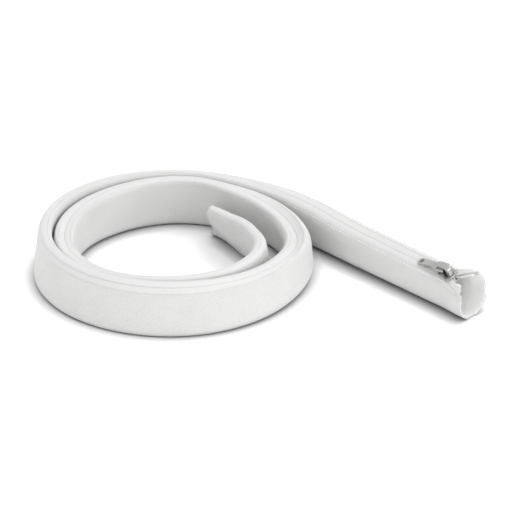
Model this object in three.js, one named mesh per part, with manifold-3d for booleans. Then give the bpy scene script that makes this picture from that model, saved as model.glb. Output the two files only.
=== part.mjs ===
// Zippered cable sleeve: a braided tube slit along its length and closed by a coil zip.
// It lies wound on edge in two flattened turns, with its open end drawn out straight and round.
// Millimetres, +Z up, floor at z = 0, +X along the straight run and out of its open end.
// The origin is on the floor, under the middle of the whole piece.
import * as THREE from 'three';
import Module from 'manifold-3d';

const wasm = await Module();
wasm.setup();

// sleeve
const SLEEVE_LENGTH = 1000;
const BORE = 20.2;
const WALL = 0.9;
const FLOOR_FLAT = 0.2; // how far the weight presses the underside flat

// zip
const CLEARANCE = 0.3;
const ZIP_BAND = 7.5; // slit between the two edges of the braid
const TAPE_REACH = 7.2; // from the middle of the zip to the hidden edge of a tape
const TAPE_THICK = 0.45;
const TAPE_SPLIT = 0.3; // from the middle of the zip to the near edge of a tape
const TAPE_LEVEL = 0.15; // top side of a tape in the slit, over the middle of the wall
const TAPE_STEP = 1.2; // width over which a tape steps down to go under the braid
const COIL_SPLIT = 0.2;
const COIL_WIDE = 1.7;
const COIL_HIGH = 1.5;
const ZIP_FLAT = 6.5; // half the width over which the zip flattens or dents the braid

// slider
const SLIDER_LONG = 9.8;
const SLIDER_BACK_GAP = 9.7; // from the slider's nose to the end of the sleeve
const PLATE_THICK = 1.0;
const FLANGE_THICK = 0.8;
const FLANGE_RISE = 0.7;
const POST_WIDE = 1.7;
const POST_LONG = 3.2;
const CAP_LONG = 8.6;
const CAP_WIDE = 3.4;
const CAP_WALL = 0.6;
const CAP_ROOF = 0.9;
const SPRING_THICK = 0.25;
const SPRING_WIDE = 1.6;

// pull tab
const PULL_LONG = 22;
const PULL_THICK = 0.9;
const PULL_END_WIDE = 4.3;
const PULL_EYE_WIDE = 6.6;
const PULL_ARM = 0.85;
const PULL_BAR = 1.0; // bar across the eye, under the slider's bridge
const PULL_HOLE = 2.6;
const BAR_RAISE = 2.8; // play of the bar under the bridge
const BAR_PLAY = 1.0; // play of the bar along the bridge, to each side

// how the sleeve lies
const TURNS = 2.065;
const TURN_GAP = 0.5; // between the two turns
const LEAVE_ANGLE = THREE.MathUtils.degToRad(28.7); // where the outer turn starts to run out
const LEAVE_RADIUS = 73.1;
const RUN_OUTSIDE = 10.4; // the straight run lies this far outside the ring
const PER_TURN = 2 * Math.PI * 70; // length that counts as one turn on the run-out

// route of the first turn: turns, radius of the line that the sleeve stands on
const FIRST_TURN = [
  [LEAVE_ANGLE / (2 * Math.PI), LEAVE_RADIUS],
  [0.25, 73.7],
  [0.38, 71.4],
  [0.63, 73.4],
  [0.8, 69.0],
  [0.9, 68.4],
];

// route of the tail, which leaves the second turn, crosses the ring and springs back to it
const TAIL_LEAVES = 1.7;
const TAIL = [[1.77, 59], [1.84, 53.2], [1.885, 48.8], [1.97, 46.3], [2.005, 48.3], [2.04, 52.4], [TURNS, 55.3]];

// lie of the section: turns, width, dent along the zip, lean to the ring's middle in degrees,
// zip's place round the section from the top (to the ring's middle where it is negative)
const LIE = [
  [-0.5, 19, 0.85, 0, -3.9],
  [-0.24, 19, 0.85, 0, -3.9],
  [-0.23, 19, 0.85, 0, -3.9],
  [-0.16, 18.9, 0.85, 0, -3.2],
  [-0.11, 17.8, 0.85, 0.5, -3.0],
  [-0.06, 14.1, 0.9, 1.5, -2.3],
  [0.0, 9.8, 0.9, 3, -1.5],
  [0.08, 7, 0.5, 5, 0.8],
  [0.16, 6.8, 0.4, 6, 2],
  [0.38, 6.8, 0.3, 6.5, 3.0],
  [0.63, 5.7, 0.3, 6.5, 3.5],
  [0.8, 10.2, 2.4, 6.5, 1.5],
  [0.9, 14.4, 3.8, 6, 0],
  [1.0, 10.2, 2.6, 7, 0],
  [1.08, 5.9, 0.8, 9, 0.5],
  [1.15, 7.3, 0.8, 5, 0.3],
  [1.25, 10.1, 1.6, -1, 0],
  [1.38, 10, 3.0, -1, -0.5],
  [1.5, 7.8, 2.0, 3, 0],
  [1.63, 5.1, 0.4, 6.5, 0.5],
  [1.8, 5.9, 0.4, 8, 0.8],
  [1.9, 5.9, 0.4, 17, 1.0],
  [1.97, 5.9, 0.4, 26, 1.0],
  [2.03, 6.3, 0.4, 35, 1.0],
  [TURNS, 7.3, 0.4, 39, 1.0],
];

// sections along the sleeve
const STEPS_PER_TURN = 30;
const LEAVE_STEPS = 8;
const ARM_STEP = 12;
const SIDE_STEPS = 3; // faces on each side of the wall, between its rounded top and bottom

// Values that follow from the sizes above.
const MID_GIRTH = Math.PI * (BORE + WALL);
const HALF_SLIT = ZIP_BAND / 2;
const TAPE_TOP = -WALL / 2 - CLEARANCE; // top side of a tape under the braid
const COIL_TOP = TAPE_LEVEL - TAPE_THICK - CLEARANCE;
const COIL_BOTTOM = COIL_TOP - COIL_HIGH;

function along(table, x, column = 1) {
  let i = 0;
  while (i < table.length - 2 && x > table[i + 1][0]) i += 1;
  const slope = (j) => {
    const a = Math.max(0, j - 1);
    const b = Math.min(table.length - 1, j + 1);
    return (table[b][column] - table[a][column]) / (table[b][0] - table[a][0]);
  };
  const span = table[i + 1][0] - table[i][0];
  const t = THREE.MathUtils.clamp((x - table[i][0]) / span, 0, 1);
  const t2 = t * t;
  const t3 = t2 * t;
  return (2 * t3 - 3 * t2 + 1) * table[i][column] + (t3 - 2 * t2 + t) * span * slope(i)
    + (3 * t2 - 2 * t3) * table[i + 1][column] + (t3 - t2) * span * slope(i + 1);
}

// Route: the run-out is an arc that ends parallel to X, and the second turn lies inside the first.
const LEAVE_TURN = LEAVE_ANGLE / (2 * Math.PI);
const OUT_RADIUS = LEAVE_RADIUS + RUN_OUTSIDE / (1 - Math.cos(LEAVE_ANGLE));
const outCentre = new THREE.Vector2(
  (OUT_RADIUS - LEAVE_RADIUS) * Math.sin(LEAVE_ANGLE),
  (LEAVE_RADIUS - OUT_RADIUS) * Math.cos(LEAVE_ANGLE),
);

const heading = (turn) => Math.PI / 2 + 2 * Math.PI * turn;

function outRadius(turn) {
  const towards = new THREE.Vector2(Math.cos(heading(turn)), Math.sin(heading(turn)));
  const depth = outCentre.dot(towards);
  return depth + Math.sqrt(OUT_RADIUS ** 2 - outCentre.lengthSq() + depth ** 2);
}

// from one turn to the next: their half widths, and room for the outer one where it leans over more
function spacing(turn) {
  const [inner, outer] = [lieAt(turn), lieAt(turn - 1)];
  const wide = (inner.width + outer.width) / 2;
  const lean = Math.max(0, Math.sin(outer.lean) - Math.sin(inner.lean));
  return wide + WALL + TURN_GAP + (MID_GIRTH / 2 - wide) * lean;
}

function outerRadius(turn) {
  return turn < LEAVE_TURN ? outRadius(turn) : along(FIRST_TURN, turn);
}

const nestedRadius = (turn) => outerRadius(turn - 1) - spacing(turn);

const NEST_TURN = 1.02;
const withRadius = (turn) => [turn, nestedRadius(turn)];
const FULL_TURN = [...FIRST_TURN, withRadius(NEST_TURN), withRadius(NEST_TURN + 0.08)];
const FULL_TAIL = [withRadius(TAIL_LEAVES - 0.07), withRadius(TAIL_LEAVES), ...TAIL];

function ringPoint(turn) {
  let radius = nestedRadius(turn);
  if (turn < NEST_TURN) radius = along(FULL_TURN, turn);
  if (turn > TAIL_LEAVES) radius = along(FULL_TAIL, turn);
  return new THREE.Vector2(Math.cos(heading(turn)), Math.sin(heading(turn))).multiplyScalar(radius);
}

function lieAt(turn) {
  return {
    width: along(LIE, turn, 1),
    dent: along(LIE, turn, 2),
    lean: THREE.MathUtils.degToRad(along(LIE, turn, 3)),
    zip: along(LIE, turn, 4),
  };
}

function ringStations() {
  const list = [];
  const nudge = 1e-4;
  const first = Math.ceil(LEAVE_TURN * STEPS_PER_TURN);
  const last = Math.floor(TURNS * STEPS_PER_TURN);
  const turns = [TURNS];
  for (let i = last; i >= first; i -= 1) turns.push(i / STEPS_PER_TURN);
  turns.push(LEAVE_TURN);
  for (const turn of turns) {
    const ahead = ringPoint(Math.max(LEAVE_TURN, turn - nudge));
    const behind = ringPoint(Math.min(TURNS, turn + nudge));
    list.push({ at: ringPoint(turn), dir: ahead.sub(behind).normalize(), spread: 0, ...lieAt(turn) });
  }
  return list;
}

function ringLength() {
  const steps = 1200;
  let total = 0;
  let last = ringPoint(LEAVE_TURN);
  for (let i = 1; i <= steps; i += 1) {
    const next = ringPoint(LEAVE_TURN + (TURNS - LEAVE_TURN) * i / steps);
    total += next.distanceTo(last);
    last = next;
  }
  return total;
}

const OUT_LONG = OUT_RADIUS * LEAVE_ANGLE;
const ARM_START = outCentre.x;
const ARM_SIDE = outCentre.y + OUT_RADIUS;
const MOUTH = ARM_START + SLEEVE_LENGTH - ringLength() - OUT_LONG;
const NOSE = MOUTH - SLIDER_BACK_GAP;
const HEEL = NOSE - SLIDER_LONG;

// The braid keeps its height inside the slider, so it widens there by this share of the opening.
const WIDEN = 1 / (Math.PI - 2);
const RUN_WIDTH = along(LIE, -0.5);

// how the end stands open: place along the straight run, split between the zip's halves, width
const SPLIT = POST_WIDE + 2 * CLEARANCE;
const OPENING = [
  [HEEL, 0, RUN_WIDTH],
  [NOSE - 0.55 * SLIDER_LONG, 0, RUN_WIDTH],
  [NOSE - 0.3 * SLIDER_LONG, 0.55 * SPLIT, RUN_WIDTH + 0.55 * SPLIT * WIDEN],
  [NOSE, SPLIT, RUN_WIDTH + SPLIT * WIDEN],
  [NOSE + 0.35 * SLIDER_BACK_GAP, 5.5, 22.8],
  [MOUTH, 11, 23.2],
];

function runStations() {
  const list = [];
  const outTurn = (x) => -Math.max(0, x) / PER_TURN;
  for (let i = 1; i <= LEAVE_STEPS; i += 1) {
    const angle = LEAVE_ANGLE * (1 - i / LEAVE_STEPS);
    const at = new THREE.Vector2(-Math.sin(angle), Math.cos(angle)).multiplyScalar(OUT_RADIUS).add(outCentre);
    const turn = at.x < 0 ? (Math.atan2(at.y, at.x) - Math.PI / 2) / (2 * Math.PI) : outTurn(at.x);
    list.push({ at, dir: new THREE.Vector2(Math.cos(angle), Math.sin(angle)), spread: 0, ...lieAt(turn) });
  }
  const places = [];
  for (let x = ARM_START + ARM_STEP; x < HEEL - ARM_STEP / 2; x += ARM_STEP) places.push(x);
  places.push(HEEL, ...OPENING.slice(1, -1).map((row) => row[0]));
  const fine = 3;
  const from = OPENING.at(-2)[0];
  for (let i = 1; i <= fine; i += 1) places.push(from + (MOUTH - from) * i / fine);
  for (const x of places) {
    const spread = x <= HEEL ? 0 : along(OPENING, x);
    const lie = { ...lieAt(outTurn(x)), spread };
    if (x > HEEL) lie.width = along(OPENING, x, 2);
    list.push({ at: new THREE.Vector2(x, ARM_SIDE), dir: new THREE.Vector2(1, 0), ...lie });
  }
  return list;
}

const stations = [...ringStations(), ...runStations()];

// Section: a loop of constant girth, round at top and bottom and straight between.
// Places on it are given by their distance from the top, to the outside of the ring where positive.
function loopPoint(station, place) {
  const girth = MID_GIRTH + station.spread;
  const radius = station.width / 2;
  const quarter = Math.PI * radius / 2;
  let from = place;
  if (from > girth / 2) from -= girth;
  if (from < -girth / 2) from += girth;
  const up = girth / 2 - Math.abs(from);
  const straight = girth / 2 - 2 * quarter;
  let x = radius;
  let z = radius + up - quarter;
  if (up < quarter) {
    x = radius * Math.sin(up / radius);
    z = radius - radius * Math.cos(up / radius);
  } else if (up > quarter + straight) {
    const turn = (up - quarter - straight) / radius;
    x = radius * Math.cos(turn);
    z = radius + straight + radius * Math.sin(turn);
  }
  const offZip = (from - station.zip) / ZIP_FLAT;
  if (Math.abs(offZip) < 1) z -= station.dent * (1 + Math.cos(Math.PI * offZip)) / 2;
  return new THREE.Vector2(Math.sign(from) * x, z);
}

function sectionPoint(station, place, height) {
  const nudge = 0.05;
  const here = loopPoint(station, place);
  const way = loopPoint(station, place + nudge).sub(loopPoint(station, place - nudge)).normalize();
  const radius = station.width / 2;
  const point = new THREE.Vector2(here.x - way.y * height, here.y + way.x * height - radius);
  const side = point.x * Math.cos(station.lean) - point.y * Math.sin(station.lean);
  const up = point.x * Math.sin(station.lean) + point.y * Math.cos(station.lean);
  const level = Math.max(0, radius + up + WALL / 2 - FLOOR_FLAT);
  return new THREE.Vector3(
    station.at.x - station.dir.y * side,
    station.at.y + station.dir.x * side,
    level,
  );
}

// A strip that follows the sleeve: places across it, the height of its top side at each, its thickness.
function stripLoop(station, places, tops, thick) {
  const upper = places.map((place, i) => sectionPoint(station, place, tops[i]));
  const lower = places.map((place, i) => sectionPoint(station, place, tops[i] - thick));
  return [...upper, ...lower.reverse()];
}

function loft(loops) {
  const count = loops[0].length;
  const index = [];
  const quad = (a, b, c, d) => index.push(a, b, c, a, c, d);
  for (let i = 0; i < loops.length - 1; i += 1) {
    for (let j = 0; j < count; j += 1) {
      const k = (j + 1) % count;
      quad(i * count + j, (i + 1) * count + j, (i + 1) * count + k, i * count + k);
    }
  }
  const end = (loops.length - 1) * count;
  for (let j = 0; j < count / 2 - 1; j += 1) {
    quad(j, j + 1, count - 2 - j, count - 1 - j);
    quad(end + j, end + count - 1 - j, end + count - 2 - j, end + j + 1);
  }
  const geometry = new THREE.BufferGeometry();
  geometry.setAttribute('position', new THREE.Float32BufferAttribute(loops.flat().flatMap((p) => [p.x, p.y, p.z]), 3));
  geometry.setIndex(index);
  return geometry;
}

const spaced = (from, to, steps) => Array.from({ length: steps + 1 }, (_, i) => from + (to - from) * i / steps);

// The wall is cut finer near the zip, where it lies over the tapes, and where it rests.
const NEAR_ZIP = [HALF_SLIT, (HALF_SLIT + TAPE_REACH) / 2, TAPE_REACH];
const NEAR_FLOOR = [-9, -5.5, -2.8, -1];
const SHOULDER = 11;

function wallPlaces(station) {
  const girth = MID_GIRTH + station.spread;
  const half = girth / 2;
  const shift = station.spread / 2;
  const side = (sign) => [
    ...NEAR_ZIP.map((d) => sign * station.zip + shift + d),
    ...spaced(sign * station.zip + shift + SHOULDER, half + NEAR_FLOOR[0], SIDE_STEPS - 1),
    ...NEAR_FLOOR.slice(1).map((d) => half + d),
  ];
  return [...side(1), ...side(-1).map((place) => girth - place).reverse()];
}

// Across a tape: distance from the zip's middle and height of its top side. It lies level with the
// braid in the slit and steps down to go under it.
const TAPE_PROFILE = [
  [TAPE_SPLIT, TAPE_LEVEL],
  [HALF_SLIT - WALL / 2 - TAPE_STEP, TAPE_LEVEL],
  [HALF_SLIT - WALL / 2, TAPE_TOP],
  ...NEAR_ZIP.map((d) => [d, TAPE_TOP]),
];
const COIL_PROFILE = [[COIL_SPLIT, COIL_TOP], [COIL_SPLIT + COIL_WIDE, COIL_TOP]];

function zipLoop(station, side, profile, thick) {
  const rows = side > 0 ? profile : [...profile].reverse();
  const places = rows.map(([d]) => station.zip + side * (station.spread / 2 + d));
  return stripLoop(station, places, rows.map((row) => row[1]), thick);
}

const wallMaterial = new THREE.MeshStandardMaterial({ color: 0xe6e6e4, roughness: 0.75, metalness: 0 });
const tapeMaterial = new THREE.MeshStandardMaterial({ color: 0xeeeeec, roughness: 0.8, metalness: 0 });
const coilMaterial = new THREE.MeshStandardMaterial({ color: 0xf2f2f0, roughness: 0.4, metalness: 0 });
const metalMaterial = new THREE.MeshStandardMaterial({ color: 0xb4b4b2, roughness: 0.3, metalness: 0.9 });

function mesh(name, geometry, material) {
  const item = new THREE.Mesh(geometry, material);
  item.name = name;
  return item;
}

function softPieces() {
  const wallLoop = (station) => {
    const places = wallPlaces(station);
    return stripLoop(station, places, places.map(() => WALL / 2), WALL);
  };
  const pieces = [mesh('braided_sleeve', loft(stations.map(wallLoop)), wallMaterial)];
  for (const [label, side] of [['near', -1], ['far', 1]]) {
    const tape = loft(stations.map((station) => zipLoop(station, side, TAPE_PROFILE, TAPE_THICK)));
    const coil = loft(stations.map((station) => zipLoop(station, side, COIL_PROFILE, COIL_HIGH)));
    pieces.push(mesh(`zip_tape_${label}`, tape, tapeMaterial), mesh(`zip_coil_${label}`, coil, coilMaterial));
  }
  return pieces;
}

// Slider: drawn round the zip's middle, +X to its nose, z = 0 in the middle of the sleeve's wall.
const PLATE_BOTTOM = TAPE_LEVEL + CLEARANCE * 1.5;
const PLATE_TOP = PLATE_BOTTOM + PLATE_THICK;
const UNDER_TOP = COIL_BOTTOM - CLEARANCE;
const BAR_HEIGHT = PLATE_TOP + CLEARANCE + PULL_BAR / 2 + BAR_RAISE;
const SPRING_BOTTOM = BAR_HEIGHT + PULL_BAR / 2 + CLEARANCE * 0.7;
const ROOF_BOTTOM = SPRING_BOTTOM + SPRING_THICK + CLEARANCE * 0.7;
const CAP_TOP = ROOF_BOTTOM + CAP_ROOF;
const CAP_BOTTOM = PLATE_TOP + CLEARANCE * 0.7;
const HEEL_HALF = COIL_SPLIT + COIL_WIDE + CLEARANCE + FLANGE_THICK;
const NOSE_HALF = HEEL_HALF + POST_WIDE / 2 + CLEARANCE;

function solid(geometry) {
  const position = geometry.getAttribute('position');
  const keys = new Map();
  const verts = [];
  const order = [];
  const index = geometry.index ? geometry.index.array : Array.from({ length: position.count }, (_, i) => i);
  for (const i of index) {
    const xyz = [position.getX(i), position.getY(i), position.getZ(i)];
    const key = xyz.map((v) => Math.round(v * 1e5)).join();
    if (!keys.has(key)) {
      keys.set(key, keys.size);
      verts.push(...xyz);
    }
    order.push(keys.get(key));
  }
  const tris = [];
  for (let i = 0; i < order.length; i += 3) {
    const [a, b, c] = order.slice(i, i + 3);
    if (a !== b && b !== c && a !== c) tris.push(a, b, c);
  }
  return new wasm.Manifold(new wasm.Mesh({
    numProp: 3,
    vertProperties: new Float32Array(verts),
    triVerts: new Uint32Array(tris),
  }));
}

function geometryOf(body) {
  const result = body.getMesh();
  const geometry = new THREE.BufferGeometry();
  geometry.setAttribute('position', new THREE.BufferAttribute(new Float32Array(result.vertProperties), 3));
  geometry.setIndex(new THREE.BufferAttribute(new Uint32Array(result.triVerts), 1));
  return geometry;
}

function block(x0, x1, y0, y1, z0, z1) {
  const geometry = new THREE.BoxGeometry(x1 - x0, y1 - y0, z1 - z0);
  geometry.translate((x0 + x1) / 2, (y0 + y1) / 2, (z0 + z1) / 2);
  return solid(geometry);
}

// outline in X and Y, raised from one height to another
function raised(shape, z0, z1, curveSegments = 6) {
  const geometry = new THREE.ExtrudeGeometry(shape, { depth: z1 - z0, bevelEnabled: false, curveSegments });
  geometry.translate(0, 0, z0);
  return solid(geometry);
}

// outline in X and Z, drawn out to both sides of the middle
function crosswise(shape, wide, curveSegments = 8) {
  const geometry = new THREE.ExtrudeGeometry(shape, { depth: wide, bevelEnabled: false, curveSegments });
  geometry.translate(0, 0, -wide / 2);
  geometry.rotateX(Math.PI / 2);
  return solid(geometry);
}

function plateShape(inset) {
  const half = SLIDER_LONG / 2 - inset;
  const heel = HEEL_HALF - inset;
  const nose = NOSE_HALF - inset;
  const round = 1.3;
  const shape = new THREE.Shape();
  shape.moveTo(-half, -heel + round);
  shape.quadraticCurveTo(-half, -heel, -half + round, -heel);
  shape.quadraticCurveTo(0, -heel, half * 0.45, -nose);
  shape.lineTo(half - round, -nose);
  shape.quadraticCurveTo(half, -nose, half, -nose + round);
  shape.lineTo(half, nose - round);
  shape.quadraticCurveTo(half, nose, half - round, nose);
  shape.lineTo(half * 0.45, nose);
  shape.quadraticCurveTo(0, heel, -half + round, heel);
  shape.quadraticCurveTo(-half, heel, -half, heel - round);
  return shape;
}

function sliderBody() {
  const half = SLIDER_LONG / 2;
  const top = raised(plateShape(0), PLATE_BOTTOM, PLATE_TOP);
  const under = raised(plateShape(0), UNDER_TOP - PLATE_THICK, UNDER_TOP);
  const rim = raised(plateShape(0), UNDER_TOP, UNDER_TOP + FLANGE_RISE);
  const channel = new THREE.Shape();
  const heel = HEEL_HALF - FLANGE_THICK;
  const nose = NOSE_HALF - FLANGE_THICK;
  channel.moveTo(-half - 1, -heel);
  channel.quadraticCurveTo(0, -heel, half * 0.45, -nose);
  channel.lineTo(half + 1, -nose);
  channel.lineTo(half + 1, nose);
  channel.lineTo(half * 0.45, nose);
  channel.quadraticCurveTo(0, heel, -half - 1, heel);
  const flanges = rim.subtract(raised(channel, UNDER_TOP, UNDER_TOP + FLANGE_RISE + 1));
  const wedge = new THREE.Shape();
  wedge.moveTo(half - POST_LONG, 0);
  wedge.lineTo(half - POST_LONG * 0.4, -POST_WIDE / 2);
  wedge.lineTo(half, -POST_WIDE * 0.3);
  wedge.lineTo(half, POST_WIDE * 0.3);
  wedge.lineTo(half - POST_LONG * 0.4, POST_WIDE / 2);
  const post = raised(wedge, UNDER_TOP - PLATE_THICK / 2, PLATE_TOP - PLATE_THICK / 2);
  const slot = block(PIN_X - 0.5, PIN_X + 0.5, -SPRING_WIDE / 2 - 0.3, SPRING_WIDE / 2 + 0.3, PLATE_BOTTOM - 1, PLATE_TOP + 1);
  return geometryOf(top.add(flanges).add(post).add(under).subtract(slot));
}

const PIN_X = -CAP_LONG / 2 + CAP_WALL + 0.6;
const PIN_BOTTOM = TAPE_LEVEL + CLEARANCE * 0.7;

function sliderCap() {
  const half = CAP_LONG / 2;
  const side = new THREE.Shape();
  const knee = 2.2;
  side.moveTo(-half, CAP_BOTTOM);
  side.lineTo(half, CAP_BOTTOM);
  side.lineTo(half, CAP_TOP - knee);
  side.quadraticCurveTo(half, CAP_TOP - 0.2, half - knee, CAP_TOP);
  side.quadraticCurveTo(0, CAP_TOP + 0.35, -half + knee, CAP_TOP);
  side.quadraticCurveTo(-half, CAP_TOP - 0.2, -half, CAP_TOP - knee);
  const across = new THREE.Shape();
  const w = CAP_WIDE / 2;
  across.moveTo(-w, CAP_BOTTOM - 1);
  across.lineTo(w, CAP_BOTTOM - 1);
  across.lineTo(w, CAP_TOP - 0.7);
  across.quadraticCurveTo(w, CAP_TOP + 0.3, 0, CAP_TOP + 0.3);
  across.quadraticCurveTo(-w, CAP_TOP + 0.3, -w, CAP_TOP - 0.7);
  const arch = new THREE.ExtrudeGeometry(across, { depth: CAP_LONG + 2, bevelEnabled: false, curveSegments: 8 });
  arch.translate(0, 0, -half - 1);
  arch.rotateX(Math.PI / 2);
  arch.rotateZ(Math.PI / 2);
  const hollow = block(-half + CAP_WALL, half - CAP_WALL, -w + CAP_WALL, w - CAP_WALL, CAP_BOTTOM - 1, ROOF_BOTTOM);
  const reach = PULL_BAR / 2 + BAR_PLAY;
  const window = block(-reach, reach, -CAP_WIDE, CAP_WIDE, CAP_BOTTOM - 1, BAR_HEIGHT + PULL_BAR / 2 + CLEARANCE * 0.7);
  return geometryOf(crosswise(side, CAP_WIDE).intersect(solid(arch)).subtract(hollow).subtract(window));
}

function lockSpring() {
  const half = CAP_LONG / 2 - CAP_WALL - 0.3;
  const w = SPRING_WIDE / 2;
  const leaf = block(PIN_X - SPRING_THICK / 2, half, -w, w, SPRING_BOTTOM, SPRING_BOTTOM + SPRING_THICK);
  const pin = block(PIN_X - SPRING_THICK / 2, PIN_X + SPRING_THICK / 2, -w / 2, w / 2, PIN_BOTTOM, SPRING_BOTTOM + SPRING_THICK);
  return geometryOf(leaf.add(pin));
}

// Pull tab: drawn from its bar, lying along -X, in its own plane z = 0.
const EYE_LONG = Math.hypot(CAP_LONG / 2, CAP_TOP - BAR_HEIGHT) + CLEARANCE;

function pullTab() {
  const eye = PULL_EYE_WIDE / 2;
  const end = PULL_END_WIDE / 2;
  const head = PULL_BAR / 2 + 0.2;
  const outline = new THREE.Shape();
  outline.moveTo(head, -eye + 0.6);
  outline.quadraticCurveTo(head, -eye, head - 0.6, -eye);
  outline.lineTo(-EYE_LONG, -eye);
  outline.quadraticCurveTo(-EYE_LONG - 2.5, -eye, -EYE_LONG - 4, -end * 0.86);
  outline.lineTo(-PULL_LONG + end * 1.1, -end);
  outline.quadraticCurveTo(-PULL_LONG, -end, -PULL_LONG, 0);
  outline.quadraticCurveTo(-PULL_LONG, end, -PULL_LONG + end * 1.1, end);
  outline.lineTo(-EYE_LONG - 4, end * 0.86);
  outline.quadraticCurveTo(-EYE_LONG - 2.5, eye, -EYE_LONG, eye);
  outline.lineTo(head - 0.6, eye);
  outline.quadraticCurveTo(head, eye, head, eye - 0.6);
  const hole = new THREE.CylinderGeometry(PULL_HOLE / 2, PULL_HOLE / 2, 4, 16);
  hole.rotateX(Math.PI / 2);
  hole.translate(-PULL_LONG + PULL_HOLE / 2 + 1.4, 0, 0);
  const blade = raised(outline, -PULL_THICK / 2, PULL_THICK / 2).subtract(solid(hole));
  const window = block(-EYE_LONG, head + 1, -eye + PULL_ARM, eye - PULL_ARM, -2, 2);
  const bar = new THREE.CylinderGeometry(PULL_BAR / 2, PULL_BAR / 2, PULL_EYE_WIDE - PULL_ARM, 12);
  return geometryOf(blade.subtract(window).add(solid(bar)));
}

const PULL_REST = TAPE_LEVEL + CLEARANCE + PULL_THICK / 2;
const PULL_SLOPE = Math.asin((BAR_HEIGHT - PULL_REST) / PULL_LONG);

function sliderGroup() {
  const mid = stations.find((s) => s.at.x >= HEEL && s.dir.x === 1);
  const foot = sectionPoint({ ...mid, spread: 0 }, mid.zip, 0);
  const ahead = sectionPoint({ ...mid, spread: 0 }, mid.zip, 1);
  const group = new THREE.Group();
  group.position.set((HEEL + NOSE) / 2, foot.y, foot.z);
  group.rotation.x = Math.atan2(foot.y - ahead.y, ahead.z - foot.z);
  group.add(mesh('slider_body', sliderBody(), metalMaterial));
  group.add(mesh('slider_cap', sliderCap(), metalMaterial));
  group.add(mesh('lock_spring', lockSpring(), metalMaterial));
  const pull = mesh('pull_tab', pullTab(), metalMaterial);
  pull.position.set(0, 0, BAR_HEIGHT);
  pull.rotation.y = -PULL_SLOPE;
  group.add(pull);
  return group;
}

const sleeve = new THREE.Group();
sleeve.add(...softPieces(), sliderGroup());
sleeve.updateMatrixWorld(true);
const bounds = new THREE.Box3().setFromObject(sleeve);
sleeve.position.set(-(bounds.min.x + bounds.max.x) / 2, -(bounds.min.y + bounds.max.y) / 2, 0);

export default sleeve;
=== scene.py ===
import math
import random

import bmesh
import bpy
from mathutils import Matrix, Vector, noise


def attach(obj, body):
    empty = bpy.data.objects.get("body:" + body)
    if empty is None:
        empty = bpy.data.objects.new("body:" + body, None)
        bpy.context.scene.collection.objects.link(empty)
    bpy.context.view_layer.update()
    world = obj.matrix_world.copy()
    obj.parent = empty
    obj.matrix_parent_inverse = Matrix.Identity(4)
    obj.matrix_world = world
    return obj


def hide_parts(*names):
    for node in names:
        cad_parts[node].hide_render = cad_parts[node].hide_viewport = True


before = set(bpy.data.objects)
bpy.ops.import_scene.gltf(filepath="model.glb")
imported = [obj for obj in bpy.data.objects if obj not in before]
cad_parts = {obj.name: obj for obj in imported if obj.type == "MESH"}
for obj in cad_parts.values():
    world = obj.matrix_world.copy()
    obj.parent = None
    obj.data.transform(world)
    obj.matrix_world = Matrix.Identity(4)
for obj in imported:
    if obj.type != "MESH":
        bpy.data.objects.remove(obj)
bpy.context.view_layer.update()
MM = 0.001

# Sizes of the sleeve in millimetres, the same as those that its solids were made from.
SLEEVE_LENGTH = 1000
BORE = 20.2
WALL = 0.9
FLOOR_FLAT = 0.2
CLEARANCE = 0.3
ZIP_BAND = 7.5
TAPE_REACH = 7.2
TAPE_THICK = 0.45
COIL_SPLIT = 0.2
COIL_WIDE = 1.7
COIL_HIGH = 1.5
TAPE_LEVEL = 0.15
ZIP_FLAT = 6.5
SLIDER_LONG = 9.8
SLIDER_BACK_GAP = 9.7
POST_WIDE = 1.7

TURNS = 2.065
TURN_GAP = 0.5
LEAVE_ANGLE = math.radians(28.7)
LEAVE_TURN = LEAVE_ANGLE / (2 * math.pi)
LEAVE_RADIUS = 73.1
RUN_OUTSIDE = 10.4
PER_TURN = 2 * math.pi * 70

# route of the first turn and of the tail: turns, radius of the line that the sleeve stands on
FIRST_TURN = [
    (LEAVE_TURN, LEAVE_RADIUS),
    (0.25, 73.7),
    (0.38, 71.4),
    (0.63, 73.4),
    (0.8, 69.0),
    (0.9, 68.4),
]
TAIL_LEAVES = 1.7
TAIL = [
    (1.77, 59),
    (1.84, 53.2),
    (1.885, 48.8),
    (1.97, 46.3),
    (2.005, 48.3),
    (2.04, 52.4),
    (TURNS, 55.3),
]

# lie of the section: turns, width, dent along the zip, lean in degrees, zip's place from the top
LIE = [
    (-0.5, 19, 0.85, 0, -3.9),
    (-0.24, 19, 0.85, 0, -3.9),
    (-0.23, 19, 0.85, 0, -3.9),
    (-0.16, 18.9, 0.85, 0, -3.2),
    (-0.11, 17.8, 0.85, 0.5, -3.0),
    (-0.06, 14.1, 0.9, 1.5, -2.3),
    (0.0, 9.8, 0.9, 3, -1.5),
    (0.08, 7, 0.5, 5, 0.8),
    (0.16, 6.8, 0.4, 6, 2),
    (0.38, 6.8, 0.3, 6.5, 3.0),
    (0.63, 5.7, 0.3, 6.5, 3.5),
    (0.8, 10.2, 2.4, 6.5, 1.5),
    (0.9, 14.4, 3.8, 6, 0),
    (1.0, 10.2, 2.6, 7, 0),
    (1.08, 5.9, 0.8, 9, 0.5),
    (1.15, 7.3, 0.8, 5, 0.3),
    (1.25, 10.1, 1.6, -1, 0),
    (1.38, 10, 3.0, -1, -0.5),
    (1.5, 7.8, 2.0, 3, 0),
    (1.63, 5.1, 0.4, 6.5, 0.5),
    (1.8, 5.9, 0.4, 8, 0.8),
    (1.9, 5.9, 0.4, 17, 1.0),
    (1.97, 5.9, 0.4, 26, 1.0),
    (2.03, 6.3, 0.4, 35, 1.0),
    (TURNS, 7.3, 0.4, 39, 1.0),
]

MID_GIRTH = math.pi * (BORE + WALL)
HALF_SLIT = ZIP_BAND / 2
TAPE_TOP = -WALL / 2 - CLEARANCE
COIL_TOP = TAPE_LEVEL - TAPE_THICK - CLEARANCE

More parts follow.
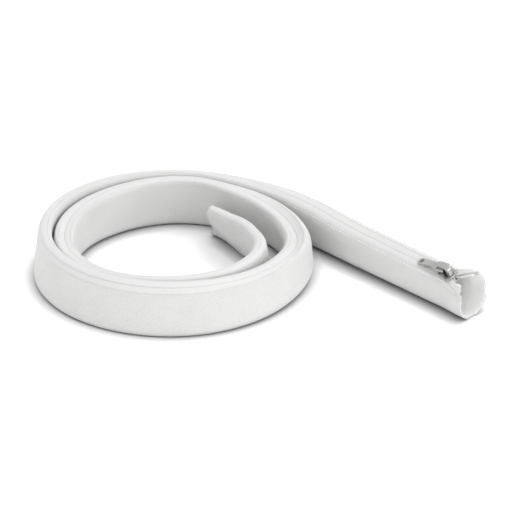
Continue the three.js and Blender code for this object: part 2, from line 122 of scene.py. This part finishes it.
# the wound part's middle, in the row frame
RING_MIDDLE = (-34.27597, -9.86342)

# how finely the visible cloth is cut
STEPS_PER_TURN = 132
LEAVE_STEPS = 24
RUN_STEP = 3.0
OPEN_STEPS = 20


def along(table, x, column=1):
    i = 0
    while i < len(table) - 2 and x > table[i + 1][0]:
        i += 1

    def slope(j):
        a = max(0, j - 1)
        b = min(len(table) - 1, j + 1)
        return (table[b][column] - table[a][column]) / (table[b][0] - table[a][0])

    span = table[i + 1][0] - table[i][0]
    t = min(1, max(0, (x - table[i][0]) / span))
    t2 = t * t
    t3 = t2 * t
    return ((2 * t3 - 3 * t2 + 1) * table[i][column] + (t3 - 2 * t2 + t) * span * slope(i)
            + (3 * t2 - 2 * t3) * table[i + 1][column] + (t3 - t2) * span * slope(i + 1))


OUT_RADIUS = LEAVE_RADIUS + RUN_OUTSIDE / (1 - math.cos(LEAVE_ANGLE))
OUT_CENTRE = Vector(((OUT_RADIUS - LEAVE_RADIUS) * math.sin(LEAVE_ANGLE),
                     (LEAVE_RADIUS - OUT_RADIUS) * math.cos(LEAVE_ANGLE)))


def heading(turn):
    return math.pi / 2 + 2 * math.pi * turn


def towards(turn):
    return Vector((math.cos(heading(turn)), math.sin(heading(turn))))


def out_radius(turn):
    depth = OUT_CENTRE.dot(towards(turn))
    return depth + math.sqrt(OUT_RADIUS ** 2 - OUT_CENTRE.length_squared + depth ** 2)


def lie_at(turn):
    return {
        "width": along(LIE, turn, 1),
        "dent": along(LIE, turn, 2),
        "lean": math.radians(along(LIE, turn, 3)),
        "zip": along(LIE, turn, 4),
    }


def spacing(turn):
    inner = lie_at(turn)
    outer = lie_at(turn - 1)
    wide = (inner["width"] + outer["width"]) / 2
    lean = max(0, math.sin(outer["lean"]) - math.sin(inner["lean"]))
    return wide + WALL + TURN_GAP + (MID_GIRTH / 2 - wide) * lean


def outer_radius(turn):
    return out_radius(turn) if turn < LEAVE_TURN else along(FIRST_TURN, turn)


def nested_radius(turn):
    return outer_radius(turn - 1) - spacing(turn)


NEST_TURN = 1.02
FULL_TURN = FIRST_TURN + [(turn, nested_radius(turn)) for turn in (NEST_TURN, NEST_TURN + 0.08)]
FULL_TAIL = [(turn, nested_radius(turn)) for turn in (TAIL_LEAVES - 0.07, TAIL_LEAVES)] + TAIL


def ring_point(turn):
    if turn < NEST_TURN:
        radius = along(FULL_TURN, turn)
    elif turn > TAIL_LEAVES:
        radius = along(FULL_TAIL, turn)
    else:
        radius = nested_radius(turn)
    return towards(turn) * radius


def ring_length():
    steps = 1200
    total = 0
    last = ring_point(LEAVE_TURN)
    for i in range(1, steps + 1):
        here = ring_point(LEAVE_TURN + (TURNS - LEAVE_TURN) * i / steps)
        total += (here - last).length
        last = here
    return total


RUN_START = OUT_CENTRE.x
RUN_SIDE = OUT_CENTRE.y + OUT_RADIUS
MOUTH = RUN_START + SLEEVE_LENGTH - ring_length() - OUT_RADIUS * LEAVE_ANGLE
NOSE = MOUTH - SLIDER_BACK_GAP
HEEL = NOSE - SLIDER_LONG
WIDEN = 1 / (math.pi - 2)
RUN_WIDTH = LIE[0][1]
SPLIT = POST_WIDE + 2 * CLEARANCE
OPENING = [
    (HEEL, 0, RUN_WIDTH),
    (NOSE - 0.55 * SLIDER_LONG, 0, RUN_WIDTH),
    (NOSE - 0.3 * SLIDER_LONG, 0.55 * SPLIT, RUN_WIDTH + 0.55 * SPLIT * WIDEN),
    (NOSE, SPLIT, RUN_WIDTH + SPLIT * WIDEN),
    (NOSE + 0.35 * SLIDER_BACK_GAP, 5.5, 22.8),
    (MOUTH, 11, 23.2),
]


TAIL_TWIST = 5.5  # how far the zip turns to the far side at the tail's end
TWIST_REACH = 45


def placed(at, way, turn):
    return {"at": at, "dir": way, "spread": 0, **lie_at(turn)}


def make_stations():
    """Places along the sleeve from its tail to its mouth, each with its own lie."""
    result = []
    turns = [TURNS]
    first = math.ceil(LEAVE_TURN * STEPS_PER_TURN)
    for i in range(math.floor(TURNS * STEPS_PER_TURN), first - 1, -1):
        turns.append(i / STEPS_PER_TURN)
    nudge = 1e-4
    for turn in turns:
        ahead = ring_point(max(LEAVE_TURN, turn - nudge))
        behind = ring_point(min(TURNS, turn + nudge))
        result.append(placed(ring_point(turn), (ahead - behind).normalized(), turn))
    for i in range(0, LEAVE_STEPS + 1):
        angle = LEAVE_ANGLE * (1 - i / LEAVE_STEPS)
        at = Vector((-math.sin(angle), math.cos(angle))) * OUT_RADIUS + OUT_CENTRE
        turn = -at.x / PER_TURN
        if at.x < 0:
            turn = (math.atan2(at.y, at.x) - math.pi / 2) / (2 * math.pi)
        result.append(placed(at, Vector((math.cos(angle), math.sin(angle))), turn))
    places = []
    x = RUN_START + RUN_STEP
    while x < HEEL - RUN_STEP / 2:
        places.append(x)
        x += RUN_STEP
    places += [HEEL + (MOUTH - HEEL) * i / OPEN_STEPS for i in range(OPEN_STEPS + 1)]
    for x in places:
        station = placed(Vector((x, RUN_SIDE)), Vector((1, 0)), -max(0, x) / PER_TURN)
        if x > HEEL:
            station["spread"] = along(OPENING, x)
            station["width"] = along(OPENING, x, 2)
        result.append(station)
    gone = 0
    for i, s in enumerate(result):
        if i:
            gone += (s["at"] - result[i - 1]["at"]).length
        s["gone"] = gone
        s["zip"] += TAIL_TWIST * max(0, 1 - gone / TWIST_REACH) ** 2
    return result


def loop_point(station, place):
    girth = MID_GIRTH + station["spread"]
    radius = station["width"] / 2
    quarter = math.pi * radius / 2
    reach = place
    if reach > girth / 2:
        reach -= girth
    if reach < -girth / 2:
        reach += girth
    up = girth / 2 - abs(reach)
    straight = girth / 2 - 2 * quarter
    x = radius
    z = radius + up - quarter
    if up < quarter:
        x = radius * math.sin(up / radius)
        z = radius - radius * math.cos(up / radius)
    elif up > quarter + straight:
        turn = (up - quarter - straight) / radius
        x = radius * math.cos(turn)
        z = radius + straight + radius * math.sin(turn)
    off_zip = (reach - station["zip"]) / ZIP_FLAT
    if abs(off_zip) < 1:
        z -= station["dent"] * (1 + math.cos(math.pi * off_zip)) / 2
    return math.copysign(1, reach) * x, z


def section_point(station, place, height):
    """A point of the sleeve in metres: its place round the section, and its height off the wall's middle."""
    nudge = 0.05
    x, z = loop_point(station, place)
    x1, z1 = loop_point(station, place + nudge)
    x0, z0 = loop_point(station, place - nudge)
    way = Vector((x1 - x0, z1 - z0)).normalized()
    radius = station["width"] / 2
    px = x - way.y * height
    pz = z + way.x * height - radius
    lean = station["lean"]
    side = px * math.cos(lean) - pz * math.sin(lean)
    up = px * math.sin(lean) + pz * math.cos(lean)
    level = max(0, radius + up + WALL / 2 - FLOOR_FLAT)
    at, way = station["at"], station["dir"]
    return Vector((
        (at.x - way.y * side + RING_MIDDLE[0]) * MM,
        (at.y + way.x * side + RING_MIDDLE[1]) * MM,
        level * MM,
    ))


stations = make_stations()
TOTAL = stations[-1]["gone"]


def fresh(name, verts, faces, uvs=None, smooth=True):
    data = bpy.data.meshes.new(name)
    data.from_pydata(verts, [], faces)
    if uvs is not None:
        layer = data.uv_layers.new(name="UVMap")
        for loop in data.loops:
            layer.data[loop.index].uv = uvs[loop.vertex_index]
    data.polygons.foreach_set("use_smooth", [smooth] * len(data.polygons))
    data.update()
    item = bpy.data.objects.new(name, data)
    bpy.context.collection.objects.link(item)
    return item


# Materials

def new_material(name, colour, roughness, metallic=0.0):
    mat = bpy.data.materials.new(name)
    mat.use_nodes = True
    tree = mat.node_tree
    shader = tree.nodes["Principled BSDF"]
    shader.inputs["Base Color"].default_value = (*colour, 1)
    shader.inputs["Roughness"].default_value = roughness
    shader.inputs["Metallic"].default_value = metallic
    return mat, tree, shader


def maths(tree, operation, a, b=None):
    node = tree.nodes.new("ShaderNodeMath")
    node.operation = operation
    for socket, value in zip(node.inputs, (a, b)):
        if value is None:
            continue
        if isinstance(value, (int, float)):
            socket.default_value = value
        else:
            tree.links.new(value, socket)
    return node.outputs[0]


def mixed(tree, factor, low, high):
    node = tree.nodes.new("ShaderNodeMix")
    node.data_type = "RGBA"
    node.inputs["A"].default_value = (*low, 1)
    node.inputs["B"].default_value = (*high, 1)
    tree.links.new(factor, node.inputs["Factor"])
    return node.outputs["Result"]


def bumped(tree, shader, height, depth, strength=1.0):
    node = tree.nodes.new("ShaderNodeBump")
    node.inputs["Distance"].default_value = depth
    node.inputs["Strength"].default_value = strength
    tree.links.new(height, node.inputs["Height"])
    tree.links.new(node.outputs["Normal"], shader.inputs["Normal"])


def cloth_coordinates(tree):
    """Millimetres across the cloth and along it."""
    node = tree.nodes.new("ShaderNodeUVMap")
    node.uv_map = "UVMap"
    split = tree.nodes.new("ShaderNodeSeparateXYZ")
    tree.links.new(node.outputs["UV"], split.inputs[0])
    return split.outputs[0], split.outputs[1]


def speckle(tree, scale, detail=3.0):
    place = tree.nodes.new("ShaderNodeTexCoord")
    node = tree.nodes.new("ShaderNodeTexNoise")
    node.inputs["Scale"].default_value = scale
    node.inputs["Detail"].default_value = detail
    tree.links.new(place.outputs["Object"], node.inputs["Vector"])
    return node.outputs["Fac"]


def weave_height(tree, first, second):
    """Yarns that run two ways and pass over two and under two. The coordinates count yarns."""
    i = maths(tree, "FLOOR", first)
    j = maths(tree, "FLOOR", second)
    pair = maths(tree, "FLOOR", maths(tree, "MULTIPLY", maths(tree, "ADD", i, j), 0.5))
    which = maths(tree, "FLOORED_MODULO", pair, 2)
    crown_a = maths(tree, "SINE", maths(tree, "MULTIPLY", maths(tree, "FRACT", second), math.pi))
    crown_b = maths(tree, "SINE", maths(tree, "MULTIPLY", maths(tree, "FRACT", first), math.pi))
    step = maths(tree, "SUBTRACT", crown_b, crown_a)
    return maths(tree, "ADD", crown_a, maths(tree, "MULTIPLY", step, which))


YARN_WIDE = 0.95


def braid_material(name, low, high):
    mat, tree, shader = new_material(name, high, 0.72)
    u, v = cloth_coordinates(tree)
    per_yarn = 1 / (YARN_WIDE * math.sqrt(2))
    first = maths(tree, "MULTIPLY", maths(tree, "ADD", u, v), per_yarn)
    second = maths(tree, "MULTIPLY", maths(tree, "SUBTRACT", v, u), per_yarn)
    height = weave_height(tree, first, second)
    cloud = speckle(tree, 60)
    # Base colour: darker where the yarns dip between their crowns, which is painted shade, plus a random
    # cloudy tone.
    painted_weave_shade_and_tone = maths(tree, "ADD", maths(tree, "MULTIPLY", height, 0.7), maths(tree, "MULTIPLY", cloud, 0.5))
    tree.links.new(mixed(tree, painted_weave_shade_and_tone, low, high), shader.inputs["Base Color"])
    bumped(tree, shader, height, 0.00016, 0.9)
    shader.inputs["Subsurface Weight"].default_value = 0.35
    shader.inputs["Subsurface Radius"].default_value = (1, 1, 1)
    shader.inputs["Subsurface Scale"].default_value = 0.0012
    return mat


def tape_material():
    mat, tree, shader = new_material("zip_tape", (0.84, 0.84, 0.83), 0.75)
    u, v = cloth_coordinates(tree)
    pitch = 0.6
    height = weave_height(tree, maths(tree, "MULTIPLY", u, 1 / pitch), maths(tree, "MULTIPLY", v, 1 / pitch))
    # Base colour darker where the yarns dip between their crowns: painted shade in the weave.
    tree.links.new(mixed(tree, height, (0.54, 0.54, 0.537), (0.64, 0.64, 0.637)), shader.inputs["Base Color"])
    bumped(tree, shader, height, 0.0001, 0.8)
    return mat


def plain_material(name, colour, roughness, scale, depth, spread=0.04):
    mat, tree, shader = new_material(name, colour, roughness)
    grain = speckle(tree, scale)
    low = tuple(max(0, c - spread) for c in colour)
    high = tuple(min(1, c + spread) for c in colour)
    tree.links.new(mixed(tree, grain, low, high), shader.inputs["Base Color"])
    bumped(tree, shader, grain, depth, 0.5)
    return mat


def metal_material(name, colour, roughness):
    mat, tree, shader = new_material(name, colour, roughness, 1.0)
    grain = speckle(tree, 900, 4)
    stain = speckle(tree, 180, 2)
    low = tuple(c * 0.72 for c in colour)
    tree.links.new(mixed(tree, stain, low, colour), shader.inputs["Base Color"])
    rough = maths(tree, "ADD", maths(tree, "MULTIPLY", stain, 0.2), roughness - 0.1)
    tree.links.new(rough, shader.inputs["Roughness"])
    bumped(tree, shader, grain, 0.00003, 0.5)
    return mat


BRAID = braid_material("braid", (0.5, 0.5, 0.497), (0.63, 0.63, 0.626))
# Brighter copy of the braid for the sleeve's inner side: painted light, so the inside seen at the mouth and
# tail looks lit.
BRAID_PAINTED_LIT_INSIDE = braid_material("braid_inside_painted_lit", (0.8, 0.8, 0.795), (0.92, 0.92, 0.915))
TAPE = tape_material()
COIL = plain_material("zip_coil", (0.86, 0.86, 0.85), 0.38, 400, 0.00002)
THREAD = plain_material("stitch_thread", (0.84, 0.84, 0.83), 0.6, 700, 0.00002)
YARN = plain_material("loose_yarn", (0.86, 0.86, 0.85), 0.6, 700, 0.00002)
METAL = metal_material("slider_metal", (0.5, 0.5, 0.49), 0.26)


# Cloth

SHORT_SIDE = 12.5  # how much sooner the near side of the tail is cut off, at its top
SHORT_FOOT = 5.5  # the same at its foot
TAIL_REACH = 26


def off_zip(station, place):
    """Distance round the section from the zip's middle, to the ring's middle where it is negative."""
    girth = MID_GIRTH + station["spread"]
    reach = (place - station["zip"]) % girth
    return reach - girth if reach > girth / 2 else reach


def tail_cut(gone, reach):
    """How far the cut end of the tail is drawn back at this place round the section."""
    if gone > TAIL_REACH or reach > 0:
        return 0
    foot = min(1, -reach / (MID_GIRTH / 2))
    near = min(1, -reach / 3) * min(1, (MID_GIRTH / 2 + reach) / 2)
    return near * (SHORT_SIDE + (SHORT_FOOT - SHORT_SIDE) * foot) * (1 - gone / TAIL_REACH) ** 2


FRAY_REACH = 3.0
FRAY = 0.8


def ragged(gone, place, seed):
    """How far yarn ends stand out of a cut end."""
    if gone > FRAY_REACH:
        return 0
    slow = noise.noise(Vector((place * 0.55, seed, 0)))
    quick = noise.noise(Vector((place * 1.9, seed, 3)))
    return FRAY * (slow + 0.6 * quick) * (1 - gone / FRAY_REACH)


def bump(x, middle, half):
    """A smooth hill of height 1."""
    t = (x - middle) / half
    return (1 - t * t) ** 2 if abs(t) < 1 else 0


# how the open end is drawn out of shape at its edge
MOUTH_REACH = 15
NEAR_LIP_AHEAD = 3.4
FAR_LIP_BACK = 2.2
NEAR_FLAP_OUT = 1.3
FAR_FLAP_OUT = 0.8
NEAR_FLAP_DROP = 2.0
FAR_FLAP_RISE = 2.0


def mouth_shape(left, reach):
    """How far the cloth moves along, to the far side and up, by distance from its end and from the zip."""
    if left > MOUTH_REACH:
        return 0, 0, 0
    end = (1 - left / MOUTH_REACH) ** 2
    ahead = end * (NEAR_LIP_AHEAD * bump(reach, -17, 19) - FAR_LIP_BACK * bump(reach, 17, 16))
    side = end * (FAR_FLAP_OUT * bump(reach, 6, 8) - NEAR_FLAP_OUT * bump(reach, -6, 7))
    up = FAR_FLAP_RISE * bump(left, 7, 7.5) * bump(reach, 7, 9) - NEAR_FLAP_DROP * end * bump(reach, -7, 8)
    return ahead, side, up


def crumple(gone, place):
    """Soft unevenness of the cloth, in millimetres."""
    slow = noise.noise(Vector((gone * 0.018, place * 0.09, 1.7)))
    quick = noise.noise(Vector((gone * 0.07, place * 0.22, 5.1)))
    return 0.22 * slow + 0.1 * quick


def cloth_point(station, place, height, relief=0.0):
    point = section_point(station, place, height + relief)
    gone = station["gone"]
    way = station["dir"]
    reach = off_zip(station, place)
    ahead, side, rise = mouth_shape(TOTAL - gone, reach)
    ahead += tail_cut(gone, reach) - ragged(gone, place, 2.2) + ragged(TOTAL - gone, place, 8.4)
    point.x += (way.x * ahead - way.y * side) * MM
    point.y += (way.y * ahead + way.x * side) * MM
    point.z = max(0, point.z + rise * MM)
    return point


HEM_FROM = TOTAL - (MOUTH - RUN_START) - 30  # from here on the hem beside the zip stands proud
HEM_WIDE = 1.3
HEM_HIGH = 0.15
SEAM_WIDE = 0.6
SEAM_DEEP = 0.09
PRESSED = 0.15  # share of the hem's height that is left in the ring


WALL_STEPS = 54


def wall_places(station):
    girth = MID_GIRTH + station["spread"]
    shift = station["spread"] / 2
    first = station["zip"] + shift + HALF_SLIT
    last = girth + station["zip"] - shift - HALF_SLIT
    hem = [0, 0.3, 0.65, 1.0, 1.3, 1.6, 1.9, 2.8, 4.6]
    between_hems = last - first - 2 * hem[-1]
    inside = [first + hem[-1] + between_hems * i / WALL_STEPS for i in range(1, WALL_STEPS)]
    return [first + h for h in hem] + inside + [last - h for h in reversed(hem)]


def hem_rise(station, distance):
    """Height of the folded hem beside the zip, with its seam: almost pressed flat in the ring."""
    share = 1 if station["gone"] > HEM_FROM else PRESSED
    if distance < 0.01:
        return -0.06
    if distance < HEM_WIDE:
        return HEM_HIGH * share * math.sin(math.pi * distance / HEM_WIDE) ** 0.6
    if distance < HEM_WIDE + SEAM_WIDE:
        return -SEAM_DEEP * share * math.sin(math.pi * (distance - HEM_WIDE) / SEAM_WIDE)
    return 0


def strip(name, places_at, tops, thick, material, relief=None, shaped=None, inside=None):
    """A closed strip along the whole sleeve, from its places across and the height of its top at each."""
    verts, uvs, faces = [], [], []
    count = 0
    for s in stations:
        places = places_at(s)
        count = 2 * len(places)
        level = tops if isinstance(tops, list) else [tops] * len(places)
        lift = [relief(s, p) if relief else 0 for p in places]
        edge = [shaped(s, min(p - places[0], places[-1] - p)) if shaped else 0 for p in places]
        under = [cloth_point(s, p, h - thick, r) for p, h, r in zip(places, level, lift)]
        verts += [cloth_point(s, p, h + e, r) for p, h, e, r in zip(places, level, edge, lift)]
        verts += reversed(under)
        uvs += [(p, s["gone"]) for p in places + places[::-1]]
    rows = len(stations)
    for i in range(rows - 1):
        for j in range(count):
            k = (j + 1) % count
            faces.append((i * count + j, (i + 1) * count + j, (i + 1) * count + k, i * count + k))
    last = (rows - 1) * count
    for j in range(count // 2 - 1):
        faces.append((j, j + 1, count - 2 - j, count - 1 - j))
        faces.append((last + j, last + count - 1 - j, last + count - 2 - j, last + j + 1))
    item = fresh(name, verts, faces, uvs)
    item.data.materials.append(material)
    # The inner half of the faces may take a second material; the wall gives it the brighter braid copy, which
    # is painted light.
    if inside:
        item.data.materials.append(inside)
        for face in item.data.polygons[:(rows - 1) * count]:
            face.material_index = 1 if face.index % count >= count // 2 else 0
    return item


def wall_relief(s, place):
    girth = MID_GIRTH + s["spread"]
    reach = (place - s["zip"]) % girth
    calm = min(1, min(reach, girth - reach) / 12)
    settled = loop_point(s, place if place <= girth / 2 else place - girth)[1]
    calm *= min(1, max(0, (settled - 1) / 4))
    return crumple(s["gone"], place) * calm


# The wall's inner side takes the brighter braid copy, painted light.
wall = strip("sleeve_wall", wall_places, WALL / 2, WALL, BRAID, wall_relief, hem_rise, BRAID_PAINTED_LIT_INSIDE)


# distance from the zip's middle and height of a tape's top side there
TAPE_PROFILE = [
    (0.03, TAPE_LEVEL - 0.02),
    (0.25, TAPE_LEVEL + 0.08),
    (0.8, TAPE_LEVEL + 0.13),
    (1.5, TAPE_LEVEL + 0.16),
    (2.4, TAPE_LEVEL + 0.18),
    (HALF_SLIT - 0.4, TAPE_LEVEL + 0.22),
    (HALF_SLIT - 0.07, TAPE_LEVEL + 0.22),
    (HALF_SLIT - 0.02, TAPE_TOP),
    (5.4, TAPE_TOP),
    (TAPE_REACH, TAPE_TOP),
]


def tape(name, side):
    rows = TAPE_PROFILE if side > 0 else TAPE_PROFILE[::-1]

    def places_at(s):
        return [s["zip"] + side * (s["spread"] / 2 + row[0]) for row in rows]
    return strip(name, places_at, [row[1] for row in rows], TAPE_THICK, TAPE)


near_tape = tape("near_tape", -1)
far_tape = tape("far_tape", 1)


def zip_axes(side, distance, height):
    """Points and directions along the sleeve at this distance from the zip's middle, to one side of it."""
    table = []
    for s in stations:
        place = s["zip"] + side * (s["spread"] / 2 + distance)
        here = section_point(s, place, height)
        out = (section_point(s, place, height + 0.5) - here).normalized()
        run = Vector((s["dir"].x, s["dir"].y, 0))
        table.append((s["gone"], here, run.cross(out).normalized(), out, run))
    return table


def between(table, gone, start=0):
    i = start
    while i < len(table) - 2 and gone > table[i + 1][0]:
        i += 1
    a, b = table[i], table[i + 1]
    t = (gone - a[0]) / (b[0] - a[0])
    return i, [a[n].lerp(b[n], t) for n in range(1, 5)]


def tube_faces(base, rings, sides):
    """Faces of a closed tube whose rings of corners follow one another."""
    faces = []
    for r in range(rings - 1):
        for k in range(sides):
            a = base + r * sides + k
            b = base + r * sides + (k + 1) % sides
            faces.append((a, b, b + sides, a + sides))
    last = base + (rings - 1) * sides
    faces.append(tuple(base + k for k in range(sides))[::-1])
    faces.append(tuple(last + k for k in range(sides)))
    return faces


COIL_PITCH = 1.15
COIL_WIRE = 0.56
COIL_FROM = 12.5  # the coil starts this far from the tail's end


def coil(name, side):
    middle = COIL_SPLIT + COIL_WIDE / 2
    table = zip_axes(side, middle, COIL_TOP - COIL_HIGH / 2)
    per_loop, sides = 8, 5
    steps = int((TOTAL - COIL_FROM - 0.5) / COIL_PITCH * per_loop)
    half_wide = (COIL_WIDE - COIL_WIRE) / 2
    half_high = (COIL_HIGH - COIL_WIRE) / 2
    verts = []
    cell = 0
    for n in range(steps):
        gone = COIL_FROM + n * COIL_PITCH / per_loop
        cell, (here, across, out, run) = between(table, gone, cell)
        phase = 2 * math.pi * n / per_loop
        spoke = across * math.cos(phase) * half_wide + out * math.sin(phase) * half_high
        centre = here + spoke * MM
        radial = spoke.normalized()
        for k in range(sides):
            a = 2 * math.pi * k / sides
            verts.append(centre + (radial * math.cos(a) + run * math.sin(a)) * (COIL_WIRE / 2 * MM))
    item = fresh(name, verts, tube_faces(0, steps, sides))
    item.data.materials.append(COIL)
    return item


near_coil = coil("near_coil", -1)
far_coil = coil("far_coil", 1)


STITCH_PITCH = 2.4
STITCH_SIZE = (0.8, 0.2, 0.12)  # half its length, width and height
STITCH_SIDES = 5
STITCH_RINGS = ((-1, 0.25), (-0.7, 0.8), (0, 1), (0.7, 0.8), (1, 0.25))  # place along it, share of its girth


def stitches(name, side):
    """A row of stitches in the seam of the hem, each a short rounded bar."""
    long, wide, high = STITCH_SIZE
    table = zip_axes(side, HALF_SLIT + HEM_WIDE + SEAM_WIDE / 2, WALL / 2)
    verts, faces = [], []
    cell = 0
    gone = HEM_FROM
    while gone < TOTAL - 2:
        cell, (here, across, out, run) = between(table, gone, cell)
        faces += tube_faces(len(verts), len(STITCH_RINGS), STITCH_SIDES)
        for x, size in STITCH_RINGS:
            for k in range(STITCH_SIDES):
                a = 2 * math.pi * k / STITCH_SIDES
                spoke = across * math.cos(a) * wide * size + out * math.sin(a) * high * size
                verts.append(here + (run * x * long + spoke) * MM)
        gone += STITCH_PITCH
    item = fresh(name, verts, faces)
    item.data.materials.append(THREAD)
    return item


near_stitches = stitches("near_stitches", -1)
far_stitches = stitches("far_stitches", 1)


LOOSE_THIN = 0.12


def loose_ends(name, station, outward, count, seed):
    """Short yarns that stand out of a cut end."""
    rng = random.Random(seed)
    places = wall_places(station)
    run = Vector((station["dir"].x, station["dir"].y, 0)) * outward
    verts, faces = [], []
    for _ in range(count):
        place = rng.uniform(places[0], places[-1])
        start = cloth_point(station, place, rng.uniform(-0.25, 0.25))
        out = (cloth_point(station, place, 1) - cloth_point(station, place, 0)).normalized()
        length = rng.uniform(0.5, 2.2)
        across = run.cross(out).normalized()
        drift = across * rng.uniform(-0.5, 0.5) + out * rng.uniform(-0.25, 0.3)
        rings, sides = 4, 3
        faces += tube_faces(len(verts), rings, sides)
        for r in range(rings):
            t = r / (rings - 1)
            middle = start + (run * (t * length - 0.5) + drift * length * t * t) * MM
            thin = LOOSE_THIN * (1 - 0.75 * t)
            middle.z = max(middle.z, thin * MM)
            for k in range(sides):
                a = 2 * math.pi * k / sides
                verts.append(middle + (across * math.cos(a) + out * math.sin(a)) * thin * MM)
    item = fresh(name, verts, faces)
    item.data.materials.append(YARN)
    return item


mouth_yarns = loose_ends("mouth_yarns", stations[-1], 1, 150, 5)
tail_yarns = loose_ends("tail_yarns", stations[0], -1, 130, 9)

for piece, nodes in (
    (wall, ("braided_sleeve",)),
    (near_tape, ("zip_tape_near",)),
    (far_tape, ("zip_tape_far",)),
    (near_coil, ("zip_coil_near",)),
    (far_coil, ("zip_coil_far",)),
):
    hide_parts(*nodes)
for piece, slot in (
    (wall, "braid"),
    (near_tape, "zip_tape"),
    (far_tape, "zip_tape"),
    (near_coil, "zip_coil"),
    (far_coil, "zip_coil"),
    (near_stitches, "braid"),
    (far_stitches, "braid"),
    (mouth_yarns, "braid"),
    (tail_yarns, "braid"),
):
    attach(piece, "sleeve")


# Slider: the solids with their edges broken, as a casting or a stamping has them.

def softened(node, name, body, width, segments=2):
    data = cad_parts[node].data.copy()
    data.name = name
    item = bpy.data.objects.new(name, data)
    bpy.context.collection.objects.link(item)
    work = bmesh.new()
    work.from_mesh(data)
    bmesh.ops.remove_doubles(work, verts=work.verts, dist=1e-6)
    bmesh.ops.dissolve_limit(work, angle_limit=math.radians(1), verts=work.verts, edges=work.edges)
    work.to_mesh(data)
    work.free()
    data.materials.clear()
    data.materials.append(METAL)
    bevel = item.modifiers.new("edges", "BEVEL")
    bevel.width = width * MM
    bevel.segments = segments
    bevel.limit_method = "ANGLE"
    bevel.angle_limit = math.radians(35)
    bevel.harden_normals = False
    data.polygons.foreach_set("use_smooth", [True] * len(data.polygons))
    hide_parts(node)
    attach(item, body)
    return item


softened("slider_body", "slider_plates", "slider", 0.12)
softened("slider_cap", "slider_bridge", "slider", 0.16)
softened("lock_spring", "lock_leaf", "slider", 0.04, 1)
softened("pull_tab", "pull_blade", "pull", 0.14)


# Floor, light and camera

# Painted contact shadow on the floor: how far its ambient occlusion looks, and how hard it darkens.
PAINTED_SHADOW_REACH = 0.0085
PAINTED_SHADOW_DEPTH = 0.9


def floor_with_painted_shadow():
    """A white floor with a painted contact shadow: its colour grows darker close to where something stands on
    it.
    """
    half = 3.0
    verts = [(-half, -half, 0), (half, -half, 0), (half, half, 0), (-half, half, 0)]
    item = fresh("floor", verts, [(0, 1, 2, 3)], smooth=False)
    mat, tree, shader = new_material("floor", (1, 1, 1), 1.0)
    shader.inputs["Specular IOR Level"].default_value = 0
    near = tree.nodes.new("ShaderNodeAmbientOcclusion")
    near.samples = 12
    near.inputs["Distance"].default_value = PAINTED_SHADOW_REACH
    depth = maths(tree, "POWER", near.outputs["AO"], PAINTED_SHADOW_DEPTH)
    # Painted shadow: the floor's colour falls towards 0.16 where something stands close.
    tree.links.new(mixed(tree, depth, (0.16, 0.16, 0.16), (1, 1, 1)), shader.inputs["Base Color"])
    item.data.materials.append(mat)
    item.location.z = -0.0001


floor_with_painted_shadow()

CAMERA_TURN = math.radians(48.41)
CAMERA_RISE = math.radians(25.92)
CAMERA_FAR = 3.193
FOCAL_PIXELS = 5907
FRAME_PIXELS = 512
SENSOR = 36

right = Vector((math.cos(CAMERA_TURN), math.sin(CAMERA_TURN), 0))
back = Vector((
    math.sin(CAMERA_TURN) * math.cos(CAMERA_RISE),
    -math.cos(CAMERA_TURN) * math.cos(CAMERA_RISE),
    math.sin(CAMERA_RISE),
))
up = back.cross(right)
aimed_at = Vector((RING_MIDDLE[0] * MM, RING_MIDDLE[1] * MM, 0.014))
eye = aimed_at + back * CAMERA_FAR
aim = aimed_at + right * 0.0450 - up * 0.0028

camera = bpy.data.objects.new("camera", bpy.data.cameras.new("camera"))
bpy.context.collection.objects.link(camera)
camera.location = eye
camera.rotation_euler = (aim - eye).to_track_quat("-Z", "Y").to_euler()
camera.data.sensor_width = SENSOR
camera.data.lens = FOCAL_PIXELS / FRAME_PIXELS * SENSOR
camera.data.clip_end = 20
bpy.context.scene.camera = camera

flat_back = Vector((back.x, back.y, 0)).normalized()


def sun(name, side, depth, height, strength, spread):
    lamp = bpy.data.objects.new(name, bpy.data.lights.new(name, "SUN"))
    bpy.context.collection.objects.link(lamp)
    source = right * side - flat_back * depth + Vector((0, 0, height))
    lamp.rotation_euler = (-source).to_track_quat("-Z", "Y").to_euler()
    lamp.data.energy = strength
    lamp.data.angle = math.radians(spread)


sun("key", 0.3, 0.4, 1.0, 0.7, 30)
sun("front", 0.8, -0.9, 0.6, 0.9, 50)


def pale_world():
    world = bpy.data.worlds.new("studio")
    world.use_nodes = True
    bpy.context.scene.world = world
    tree = world.node_tree
    ground = tree.nodes["Background"]
    ground.inputs["Color"].default_value = (1, 1, 1, 1)
    ground.inputs["Strength"].default_value = 1.13
    seen = tree.nodes.new("ShaderNodeBackground")
    seen.inputs["Color"].default_value = (1, 1, 1, 1)
    seen.inputs["Strength"].default_value = 1
    path = tree.nodes.new("ShaderNodeLightPath")
    any_seen = tree.nodes.new("ShaderNodeMath")
    any_seen.operation = "MAXIMUM"
    tree.links.new(path.outputs["Is Camera Ray"], any_seen.inputs[0])
    tree.links.new(path.outputs["Is Glossy Ray"], any_seen.inputs[1])
    with_clear = tree.nodes.new("ShaderNodeMath")
    with_clear.operation = "MAXIMUM"
    tree.links.new(any_seen.outputs[0], with_clear.inputs[0])
    tree.links.new(path.outputs["Is Transmission Ray"], with_clear.inputs[1])
    mix = tree.nodes.new("ShaderNodeMixShader")
    tree.links.new(with_clear.outputs[0], mix.inputs[0])
    tree.links.new(ground.outputs[0], mix.inputs[1])
    tree.links.new(seen.outputs[0], mix.inputs[2])
    tree.links.new(mix.outputs[0], tree.nodes["World Output"].inputs["Surface"])


pale_world()

bpy.context.scene.view_settings.view_transform = "Standard"
